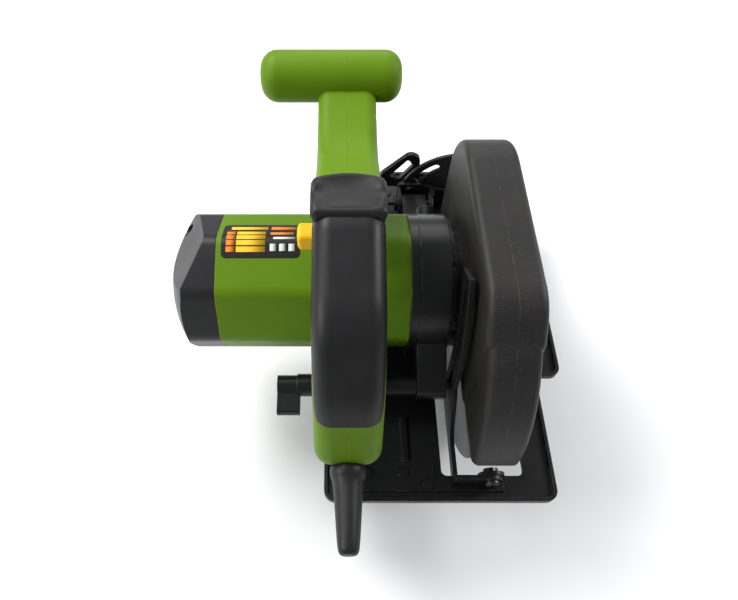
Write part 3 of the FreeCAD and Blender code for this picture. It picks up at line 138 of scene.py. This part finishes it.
def make_finish(name, deep, pale, gloss, worn, grain=1400.0, relief=0.3, metallic=0.0, edge=0.0006,
                sheen=0.26, scuffs=0.0):
    """A satin finish: two mottled tones, grain in the relief, and a worn tone on edges and scuffs."""
    material = bpy.data.materials.new(name)
    material.use_nodes = True
    nodes = material.node_tree.nodes
    links = material.node_tree.links
    shader = nodes["Principled BSDF"]
    shader.inputs["Metallic"].default_value = metallic
    shader.inputs["Specular IOR Level"].default_value = sheen
    patterns = nodes.new("ShaderNodeGroup")
    patterns.node_tree = surface_patterns
    patterns.inputs["Grain Scale"].default_value = grain
    patterns.inputs["Mottle Scale"].default_value = 55.0
    rubbed = nodes.new("ShaderNodeGroup")
    rubbed.node_tree = edge_wear
    rubbed.inputs["Radius"].default_value = edge
    thin = nodes.new("ShaderNodeMath")
    thin.operation = "MULTIPLY_ADD"
    thin.use_clamp = True
    thin.inputs[1].default_value = scuffs
    tone = nodes.new("ShaderNodeMix")
    tone.data_type = "RGBA"
    tone.inputs[6].default_value = (*deep, 1)
    tone.inputs[7].default_value = (*pale, 1)
    chipped = nodes.new("ShaderNodeMix")
    chipped.data_type = "RGBA"
    chipped.inputs[7].default_value = (*worn, 1)
    rough = nodes.new("ShaderNodeMapRange")
    rough.inputs["To Min"].default_value = gloss - 0.09
    rough.inputs["To Max"].default_value = gloss + 0.09
    height = nodes.new("ShaderNodeBump")
    height.inputs["Distance"].default_value = 0.00012
    height.inputs["Strength"].default_value = relief
    soft = nodes.new("ShaderNodeBevel")
    soft.samples = 4
    soft.inputs["Radius"].default_value = edge
    links.new(patterns.outputs["Mottle"], tone.inputs[0])
    links.new(tone.outputs[2], chipped.inputs[6])
    links.new(patterns.outputs["Scratches"], thin.inputs[0])
    links.new(rubbed.outputs["Edge"], thin.inputs[2])
    links.new(thin.outputs["Value"], chipped.inputs[0])
    links.new(chipped.outputs[2], shader.inputs["Base Color"])
    links.new(patterns.outputs["Mottle"], rough.inputs["Value"])
    links.new(rough.outputs["Result"], shader.inputs["Roughness"])
    links.new(patterns.outputs["Grain"], height.inputs["Height"])
    links.new(soft.outputs["Normal"], height.inputs["Normal"])
    links.new(height.outputs["Normal"], shader.inputs["Normal"])
    return material


def dress(material, *names):
    """Give a material to the CAD nodes named."""
    for name in names:
        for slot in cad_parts[name].material_slots:
            slot.material = material


black_powder_coat = make_finish("black_powder_coat", (0.006, 0.006, 0.0065), (0.011, 0.011, 0.012),
                                0.36, (0.16, 0.16, 0.17), grain=1800.0, relief=0.35)
dress(black_powder_coat, "base_plate", "rear_pivot_bracket", "bevel_quadrant", "fence_bracket",
      "sole_rivets")

# ---- Rivets, screws and pins ----
# Zinc-plated steel, cold headed. The plating is bright with a faint blue-grey bloom.
# Screws hold the guard, the housing and the handle; rivets hold the brackets to the sole.
zinc_plate = make_finish("zinc_plate", (0.42, 0.43, 0.45), (0.58, 0.58, 0.58), 0.32,
                         (0.8, 0.8, 0.8), grain=700.0, relief=0.12, metallic=1.0, edge=0.0003)
dress(zinc_plate, "fence_screw", "housing_screws", "guard_screws", "handle_screws", "blade_bolt")
blackened_steel = make_finish("blackened_steel", (0.035, 0.035, 0.037), (0.07, 0.07, 0.072), 0.30,
                              (0.35, 0.35, 0.36), grain=700.0, relief=0.15, metallic=1.0, edge=0.0004)
dress(blackened_steel, "tilt_pivots", "depth_pivot_pin", "bevel_bolt", "depth_lock_bolt")


def settle(name, build, body, material):
    """Turn a finished bmesh into a piece of the saw that rides on a body."""
    for face in build.faces:
        face.smooth = True
    mesh = bpy.data.meshes.new(name)
    build.to_mesh(mesh)
    build.free()
    mesh.materials.append(material)
    piece = bpy.data.objects.new(name, mesh)
    bpy.context.scene.collection.objects.link(piece)
    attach(piece, body)
    return piece


HEAD_SPAN = 0.006      # faces closer than this belong to one screw head
FACING_DOT = 0.995
RECESS_LONG = 0.0038
RECESS_WIDE = 0.0008
RECESS_DEEP = 0.0006
RECESS_PROUD = 0.00004  # the dark cross stands this far above the head, so that it shows


def head_centres(node, facing):
    """Middles of the flat screw heads of a node that look along facing."""
    heads = []
    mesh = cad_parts[node].data
    for face in mesh.polygons:
        if face.normal.dot(facing) > FACING_DOT:
            near = [head for head in heads if (head[0] - face.center).length < HEAD_SPAN]
            if near:
                near[0].append(face.center.copy())
            else:
                heads.append([face.center.copy()])
    middles = []
    for head in heads:
        low = Vector(map(min, zip(*head)))
        high = Vector(map(max, zip(*head)))
        middles.append((low + high) / 2 + facing * (high - (low + high) / 2).dot(facing))
    return middles


def recess_shade_crosses(name, node, facing, body):
    """Dark crosses let into the middle of each head: painted shade standing in for the shade inside the
    driver recesses.
    """
    build = bmesh.new()
    turn = facing.to_track_quat("Z", "Y").to_matrix().to_4x4()
    for centre in head_centres(node, facing):
        for angle in (45.0, 135.0):
            arm = bmesh.ops.create_cube(build, size=1.0)["verts"]
            bmesh.ops.scale(build, verts=arm, vec=(RECESS_LONG, RECESS_WIDE, RECESS_DEEP))
            bmesh.ops.translate(build, verts=arm, vec=(0, 0, RECESS_PROUD - RECESS_DEEP / 2))
            spin = Matrix.Rotation(math.radians(angle), 4, "Z")
            bmesh.ops.transform(build, matrix=Matrix.Translation(centre) @ turn @ spin, verts=arm)
    return settle(name, build, body, recess_shadow)


# Near-black painted shade for the driver recesses in the screw heads.
recess_shadow = make_finish("recess_shadow", (0.004, 0.004, 0.004), (0.007, 0.007, 0.007), 0.6,
                            (0.01, 0.01, 0.01), edge=0.0001)
recess_shade_crosses("handle_screw_recess_shade", "handle_screws", Vector((1, 0, 0)), "saw_body")
recess_shade_crosses("cap_screw_recess_shade", "housing_screws", Vector((-1, 0, 0)), "saw_body")
recess_shade_crosses("pivot_screw_recess_shade", "tilt_pivots", Vector((0, -1, 0)), "tilt_frame")

# ---- Tilting frame ----
# The depth arm and the front pivot bracket are black stamped steel; the arm slides in the depth lock.
dress(black_powder_coat, "depth_arm", "front_pivot_bracket", "depth_lock_rod")

# ---- Bevel lever ----
# A stamped, black-coated lever with a rounded window that a finger pulls.
dress(black_powder_coat, "bevel_lever")

# ---- Blade ----
# A 24-tooth tungsten-tipped disc, ground in rings, clamped between two turned flanges.
def turned_steel(name, tone, bright, gloss, rings):
    """Steel with fine rings about an axis along X, as a lathe or a grinder leaves it."""
    material = make_finish(name, tone, bright, gloss, bright, grain=500.0, relief=0.1,
                           metallic=1.0, edge=0.0002)
    nodes = material.node_tree.nodes
    links = material.node_tree.links
    place = nodes.new("ShaderNodeTexCoord")
    centre = nodes.new("ShaderNodeMapping")
    centre.inputs["Location"].default_value = (0.0, 0.0, -blade_centre.z)
    wave = nodes.new("ShaderNodeTexWave")
    wave.wave_type = "RINGS"
    wave.rings_direction = "X"
    wave.inputs["Scale"].default_value = rings
    wave.inputs["Distortion"].default_value = 0.6
    height = nodes["Bump"]
    links.new(place.outputs["Object"], centre.inputs["Vector"])
    links.new(centre.outputs["Vector"], wave.inputs["Vector"])
    links.new(wave.outputs["Fac"], height.inputs["Height"])
    return material


blade_low, blade_high = (Vector(corner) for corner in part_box("saw_blade"))
blade_centre = (blade_low + blade_high) / 2
ground_steel = turned_steel("ground_steel", (0.26, 0.26, 0.27), (0.42, 0.42, 0.43), 0.34, 300.0)
carbide = make_finish("carbide", (0.16, 0.16, 0.17), (0.26, 0.26, 0.27), 0.42,
                      (0.5, 0.5, 0.5), metallic=1.0, edge=0.0001)
dress(ground_steel, "saw_blade", "inner_flange", "outer_flange", "spindle", "drive_gear",
      "guard_retaining_ring", "guard_spring", "armature_shaft", "spindle_bearings", "armature_bearings")
dress(carbide, "blade_tips")

# ---- Lower guard ----
# Die-cast aluminium, tumbled, with a moulded lift knob. It turns back into the upper guard.
cast_aluminium = make_finish("cast_aluminium", (0.20, 0.20, 0.21), (0.30, 0.30, 0.31), 0.48,
                             (0.7, 0.7, 0.7), grain=420.0, relief=0.5, metallic=1.0)
dress(cast_aluminium, "lower_guard")

# ---- Upper guard ----
# Two charcoal mouldings screwed together along the blade's plane, with a fine spark texture.
charcoal_plastic = make_finish("charcoal_plastic", (0.012, 0.0112, 0.011), (0.024, 0.022, 0.021),
                               0.48, (0.09, 0.085, 0.08), grain=2600.0, relief=0.7, scuffs=0.7)
dress(charcoal_plastic, "guard_left_half", "guard_right_half")
guard_low, guard_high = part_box("guard_right_half")
RIB_HIGH = 0.0009
RIB_SOFT = 0.0003
HUB_RIB_R = 0.0295
HUB_RIB_SPREAD = 1.12
SPOKE_WIDE = 0.0030
SPOKE_START = HUB_RIB_R * 1.2
SPOKE_TURNS = (24.0, 57.0, 90.0, 123.0, 156.0)
SPOKE_REACH = 0.034
SHORT_SPOKE_REACH = 0.022   # the first and last spoke meet the guard's lower edge
EDGE_CLEARANCE = 0.0015
ribs = bmesh.new()
bmesh.ops.create_circle(ribs, cap_ends=False, radius=HUB_RIB_R, segments=72)
hub_outer = bmesh.ops.extrude_edge_only(ribs, edges=ribs.edges[:])["geom"]
outer_ring = [part for part in hub_outer if isinstance(part, bmesh.types.BMVert)]
bmesh.ops.scale(ribs, verts=outer_ring, vec=(HUB_RIB_SPREAD, HUB_RIB_SPREAD, 1))
bmesh.ops.rotate(ribs, verts=ribs.verts, matrix=Matrix.Rotation(math.radians(90.0), 3, "Y"))
bmesh.ops.translate(ribs, verts=ribs.verts, vec=(guard_high.x, blade_centre.y, blade_centre.z))
lower = [point for point in ribs.verts if point.co.z < guard_low.z + EDGE_CLEARANCE]
bmesh.ops.delete(ribs, geom=lower, context="VERTS")
for turn in SPOKE_TURNS:
    spoke = bmesh.ops.create_grid(ribs, x_segments=1, y_segments=4, size=0.5)["verts"]
    reach = SHORT_SPOKE_REACH if turn in (SPOKE_TURNS[0], SPOKE_TURNS[-1]) else SPOKE_REACH
    bmesh.ops.scale(ribs, verts=spoke, vec=(SPOKE_WIDE, reach, 1))
    bmesh.ops.translate(ribs, verts=spoke, vec=(0, SPOKE_START + reach / 2, 0))
    bmesh.ops.rotate(ribs, verts=spoke, matrix=Matrix.Rotation(math.radians(turn - 90.0), 3, "Z"))
    upright = Matrix(((0, 0, 1), (1, 0, 0), (0, 1, 0)))
    bmesh.ops.rotate(ribs, verts=spoke, matrix=upright)
    bmesh.ops.translate(ribs, verts=spoke, vec=(guard_high.x, blade_centre.y, blade_centre.z))
bmesh.ops.recalc_face_normals(ribs, faces=ribs.faces)
guard_ribs = settle("guard_ribs", ribs, "saw_body", charcoal_plastic)
rib_height = guard_ribs.modifiers.new("height", "SOLIDIFY")
rib_height.thickness = RIB_HIGH
rib_height.offset = 0.0
rib_soft = guard_ribs.modifiers.new("soften", "BEVEL")
rib_soft.width = RIB_SOFT
rib_soft.segments = 2

# ---- Gear housing ----
# A magnesium casting painted satin black, with a smoother paint than the sole's.
black_casting = make_finish("black_casting", (0.006, 0.006, 0.0065), (0.011, 0.011, 0.012),
                            0.30, (0.14, 0.14, 0.15), grain=900.0, relief=0.25, edge=0.0008)
dress(black_casting, "gear_housing", "bearing_bridge")

# ---- Motor housing ----
# The barrel is glass-filled nylon moulded in yellow-green, eight sided, with a satin texture.
green_nylon = make_finish("green_nylon", (0.092, 0.190, 0.0008), (0.110, 0.218, 0.001), 0.50,
                          (0.20, 0.34, 0.01), grain=2400.0, relief=0.45, edge=0.0009, sheen=0.18)
dress(green_nylon, "motor_housing", "handle_left", "handle_right")

# ---- Motor end cap and small black mouldings ----
# An anthracite moulding, screwed on, closes the barrel. The switch, trigger, fan, spindle lock
# button and lift lever are moulded in the same plastic.
anthracite = make_finish("anthracite", (0.011, 0.011, 0.012), (0.018, 0.018, 0.020), 0.40,
                         (0.09, 0.09, 0.095), grain=2400.0, relief=0.3)
dress(anthracite, "motor_end_cap", "switch_body", "trigger", "spindle_lock_button",
      "guard_lift_lever", "cooling_fan")

# ---- Motor inside ----
# Varnished laminations, enamelled copper windings, a copper commutator and carbon brushes in brass.
laminations = make_finish("laminations", (0.16, 0.16, 0.17), (0.24, 0.24, 0.25), 0.4,
                          (0.4, 0.4, 0.4), metallic=0.8)
enamelled_copper = make_finish("enamelled_copper", (0.48, 0.16, 0.05), (0.66, 0.26, 0.10), 0.34,
                               (0.8, 0.4, 0.2), grain=1800.0, relief=0.8, metallic=0.9)
plain_brass = make_finish("plain_brass", (0.62, 0.42, 0.15), (0.75, 0.55, 0.22), 0.3,
                          (0.85, 0.7, 0.4), metallic=1.0)
dry_carbon = make_finish("dry_carbon", (0.02, 0.02, 0.02), (0.035, 0.035, 0.035), 0.6,
                         (0.08, 0.08, 0.08))
dress(laminations, "stator_core", "armature_core")
dress(enamelled_copper, "field_windings", "commutator")
dress(plain_brass, "brush_holders")
dress(dry_carbon, "carbon_brushes")

# ---- Rating plate ----
# A black printed film under clear lacquer, stuck on the top facet of the barrel.
black_film = make_finish("black_film", (0.006, 0.006, 0.0065), (0.010, 0.010, 0.011), 0.42,
                         (0.05, 0.05, 0.05), grain=600.0, relief=0.05, edge=0.0002)
dress(black_film, "rating_plate")
film_low, film_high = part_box("rating_plate")
film_size = film_high - film_low
film_surface = BVHTree.FromObject(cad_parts["rating_plate"], bpy.context.evaluated_depsgraph_get())
INK_LIFT = 0.00012
DROP_FROM = 0.01       # height above the film from which the ink is dropped onto it


def print_block(build, left, right, low, high):
    """A printed block laid on the film; its edges are shares of the film's length and width."""
    flat = bmesh.ops.create_grid(build, x_segments=2, y_segments=24, size=0.5)["verts"]
    size = (film_size.x * (right - left), film_size.y * (high - low), 1)
    centre = (film_low.x + film_size.x * (left + right) / 2,
              film_low.y + film_size.y * (low + high) / 2, 0)
    bmesh.ops.scale(build, verts=flat, vec=size)
    bmesh.ops.translate(build, verts=flat, vec=centre)
    for point in flat:
        above = Vector((point.co.x, point.co.y, film_high.z + DROP_FROM))
        landing = film_surface.ray_cast(above, Vector((0, 0, -1)))[0]
        point.co.z = landing.z + INK_LIFT


ROWS = 4
ROW_START = 0.12
ROW_PITCH = 0.15
ROW_HIGH = 0.12
amber_ink = make_finish("amber_ink", (0.80, 0.42, 0.01), (0.92, 0.55, 0.02), 0.5, (0.6, 0.3, 0.01),
                        grain=500.0, relief=0.05, edge=0.0001)
orange_ink = make_finish("orange_ink", (0.70, 0.17, 0.01), (0.85, 0.24, 0.01), 0.5, (0.5, 0.15, 0.01),
                         grain=500.0, relief=0.05, edge=0.0001)
pale_ink = make_finish("pale_ink", (0.60, 0.60, 0.58), (0.72, 0.72, 0.70), 0.5, (0.4, 0.4, 0.4),
                       grain=500.0, relief=0.05, edge=0.0001)
amber_print = bmesh.new()
orange_print = bmesh.new()
pale_print = bmesh.new()
print_block(amber_print, 0.10, 0.58, 0.78, 0.90)
print_block(orange_print, 0.62, 0.94, 0.78, 0.90)
for row in range(ROWS):
    low = ROW_START + ROW_PITCH * row
    print_block(orange_print, 0.06, 0.17, low, low + ROW_HIGH)
    print_block(amber_print, 0.19, 0.56, low, low + ROW_HIGH)
print_block(orange_print, 0.62, 0.92, 0.56, 0.66)
print_block(pale_print, 0.66, 0.94, 0.42, 0.48)
for place in (0.62, 0.74, 0.86):
    print_block(pale_print, place, place + 0.08, 0.14, 0.30)
for name, build, ink in (("label_amber_print", amber_print, amber_ink),
                         ("label_orange_print", orange_print, orange_ink),
                         ("label_pale_print", pale_print, pale_ink)):
    ink_piece = settle(name, build, "saw_body", ink)
    film_coat = ink_piece.modifiers.new("ink", "SOLIDIFY")
    film_coat.thickness = INK_LIFT / 2

# ---- Grip overmould ----
# Soft black elastomer moulded over the nylon, with a finer, slicker texture than rubber.
soft_black = make_finish("soft_black", (0.009, 0.009, 0.0095), (0.015, 0.015, 0.016), 0.42,
                         (0.05, 0.05, 0.052), grain=3200.0, relief=0.35, edge=0.0010)
dress(soft_black, "grip_overmould")

# ---- Thumb rest ----
# A soft moulded saddle on top of the grip, with a dished top and an arched front edge.
# It is moulded in one with the grip's skin and bulges over it.
rest_low, rest_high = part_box("thumb_rest")
rest_size = rest_high - rest_low
rest_middle = (rest_low + rest_high) / 2
REST_ARCH = 0.0045     # how far the front corners sweep back
REST_DISH = 0.0046     # how deep the top is hollowed
REST_FALL = 0.0030     # how far the front of the top falls
REST_TAPER = 0.10      # how much the underside draws in
REST_CORNER = 0.0035
CORNER_ANGLE = 0.9
saddle = bmesh.new()
bmesh.ops.create_cube(saddle, size=1.0)
bmesh.ops.scale(saddle, verts=saddle.verts, vec=rest_size)
bmesh.ops.translate(saddle, verts=saddle.verts, vec=rest_middle)
bmesh.ops.subdivide_edges(saddle, edges=saddle.edges, cuts=5, use_grid_fill=True)
for point in saddle.verts:
    across = (point.co.x - rest_middle.x) / (rest_size.x / 2)
    along = (point.co.y - rest_middle.y) / (rest_size.y / 2)
    up = (point.co.z - rest_middle.z) / (rest_size.z / 2)
    arch = REST_ARCH * across ** 2 * max(along, 0)
    dish = REST_DISH * (1 - across ** 2) * (1 - along ** 2) * max(up, 0)
    narrow = REST_TAPER * max(-up, 0) * (1 - 0.4 * along)
    point.co.x -= (point.co.x - rest_middle.x) * narrow
    point.co.y -= arch
    point.co.z -= dish + REST_FALL * max(along, 0) * max(up, 0)
corners = [edge for edge in saddle.edges if edge.calc_face_angle() > CORNER_ANGLE]
bmesh.ops.bevel(saddle, geom=corners, offset=REST_CORNER, segments=2, profile=0.5, affect="EDGES",
                material=-1)
rest_piece = settle("thumb_rest_saddle", saddle, "saw_body", soft_black)
rest_smooth = rest_piece.modifiers.new("round", "SUBSURF")
rest_smooth.levels = 2
rest_smooth.render_levels = 2
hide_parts("thumb_rest")

# ---- Cable sleeve ----
# A tapered elastomer sleeve that keeps the cord from kinking where it leaves the handle.
# It is moulded round, with a collar against the handle and a softly rounded mouth.
sleeve_low, sleeve_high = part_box("strain_relief")
sleeve_middle = (sleeve_low + sleeve_high) / 2
sleeve_long = sleeve_high.y - sleeve_low.y
collar_radius = (sleeve_high.x - sleeve_low.x) / 2
sleeve = bmesh.new()
# Shares of the sleeve's length and of the collar's radius, from the mouth to the handle.
SLEEVE_PROFILE = ((0.0, 0.0), (0.0, 0.42), (0.03, 0.54), (0.10, 0.60), (0.35, 0.70), (0.60, 0.80),
                  (0.66, 0.86), (0.69, 0.98), (0.75, 1.0), (0.79, 0.94), (0.80, 0.66), (1.0, 0.66),
                  (1.0, 0.0))
SLEEVE_STEPS = 40
MERGE = 0.00002
profile = [sleeve.verts.new((sleeve_middle.x + collar_radius * radius,
                             sleeve_low.y + sleeve_long * along, sleeve_middle.z))
           for along, radius in SLEEVE_PROFILE]
for first, second in zip(profile, profile[1:]):
    sleeve.edges.new((first, second))
bmesh.ops.spin(sleeve, geom=sleeve.verts[:] + sleeve.edges[:], cent=sleeve_middle, axis=(0, 1, 0),
               angle=2 * math.pi, steps=SLEEVE_STEPS, use_merge=True)
bmesh.ops.remove_doubles(sleeve, verts=sleeve.verts, dist=MERGE)
bmesh.ops.recalc_face_normals(sleeve, faces=sleeve.faces)
sleeve_piece = settle("cable_sleeve", sleeve, "saw_body", soft_black)
sleeve_smooth = sleeve_piece.modifiers.new("round", "SUBSURF")
sleeve_smooth.levels = 1
sleeve_smooth.render_levels = 1
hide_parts("strain_relief")

# ---- Lock-off button ----
# A yellow acetal push button on the left of the grip, where the thumb reaches it, with four grip
# ribs moulded on its outer face so they stay clear of the handle when it is pressed.
yellow_acetal = make_finish("yellow_acetal", (0.78, 0.42, 0.002), (0.88, 0.50, 0.004), 0.45,
                            (0.9, 0.65, 0.1), grain=2000.0, relief=0.2)
dress(yellow_acetal, "lock_off_button")
key_low, key_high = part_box("lock_off_button")
key_deep = key_high.y - key_low.y
key_tall = key_high.z - key_low.z
KEY_RIB_PROUD = 0.0010
KEY_RIB_HIGH = 0.0009
KEY_RIB_SHARE = 0.66   # of the button's length
KEY_RIB_PITCH = 0.2    # of the button's height
KEY_RIB_EDGE = 0.0002
key_ribs = bmesh.new()
for number in range(4):
    rib = bmesh.ops.create_cube(key_ribs, size=1.0)["verts"]
    bmesh.ops.scale(key_ribs, verts=rib, vec=(KEY_RIB_PROUD, key_deep * KEY_RIB_SHARE, KEY_RIB_HIGH))
    level = key_low.z + key_tall * (KEY_RIB_PITCH + KEY_RIB_PITCH * number)
    middle_of_rib = Vector((key_low.x, (key_low.y + key_high.y) / 2, level))
    bmesh.ops.translate(key_ribs, verts=rib, vec=middle_of_rib)
bmesh.ops.bevel(key_ribs, geom=key_ribs.edges[:], offset=KEY_RIB_EDGE, segments=2, profile=0.5,
                affect="EDGES", material=-1)
settle("lock_off_ribs", key_ribs, "lock_off_button", yellow_acetal)

# ---- Floor, light and camera ----
# A pale studio floor just under the blade, lit by large soft boxes overhead, at both sides and
# behind. The camera looks down on the saw from behind its grip.
def soft_box(name, place, aim, width, power):
    """A square area light that faces the point it is aimed at."""
    lamp = bpy.data.lights.new(name, "AREA")
    lamp.size = width
    lamp.energy = power
    holder = bpy.data.objects.new(name, lamp)
    holder.location = place
    holder.rotation_euler = (Vector(aim) - Vector(place)).to_track_quat("-Z", "Y").to_euler()
    bpy.context.scene.collection.objects.link(holder)


saw_low, saw_high = (Vector(corner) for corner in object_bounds())
middle = (saw_low + saw_high) / 2
FLOOR_GAP = 0.0005
FLOOR_SPAN = 40.0
floor_mesh = bmesh.new()
bmesh.ops.create_grid(floor_mesh, x_segments=1, y_segments=1, size=FLOOR_SPAN)
bmesh.ops.translate(floor_mesh, verts=floor_mesh.verts, vec=(0, 0, saw_low.z - FLOOR_GAP))
floor_data = bpy.data.meshes.new("studio_floor")
floor_mesh.to_mesh(floor_data)
floor_mesh.free()
floor = bpy.data.objects.new("studio_floor", floor_data)
bpy.context.scene.collection.objects.link(floor)
floor_paint = make_finish("floor_paint", (0.90, 0.90, 0.90), (0.92, 0.92, 0.92), 0.8,
                          (0.84, 0.84, 0.84), grain=30.0, relief=0.0)
floor_data.materials.append(floor_paint)
floor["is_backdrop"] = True

soft_box("overhead_box", (-0.75, 0.55, 1.15), middle, 0.6, 18.0)
soft_box("left_box", (-1.25, -0.30, 0.75), middle, 0.5, 9.0)
soft_box("right_box", (1.10, 0.35, 0.80), middle, 0.5, 11.0)
soft_box("rear_box", (0.10, 1.30, 0.85), middle, 0.8, 5.5)
world = bpy.data.worlds.new("studio")
world.use_nodes = True
sky = world.node_tree.nodes["Background"]
sky.inputs["Color"].default_value = (0.95, 0.97, 1.0, 1)
sky.inputs["Strength"].default_value = 0.36
bpy.context.scene.world = world
bpy.context.scene.view_settings.view_transform = "Standard"

VIEW_DROP = 58.0       # degrees below level
eye = bpy.data.cameras.new("camera")
eye.sensor_width = 36.0
eye.lens = 29.27
eye.shift_x = 0.0393
camera = bpy.data.objects.new("camera", eye)
camera.location = (-0.101, -0.226, 0.423)
camera.rotation_euler = (math.radians(90.0 - VIEW_DROP), 0, 0)
bpy.context.scene.collection.objects.link(camera)
bpy.context.scene.camera = camera
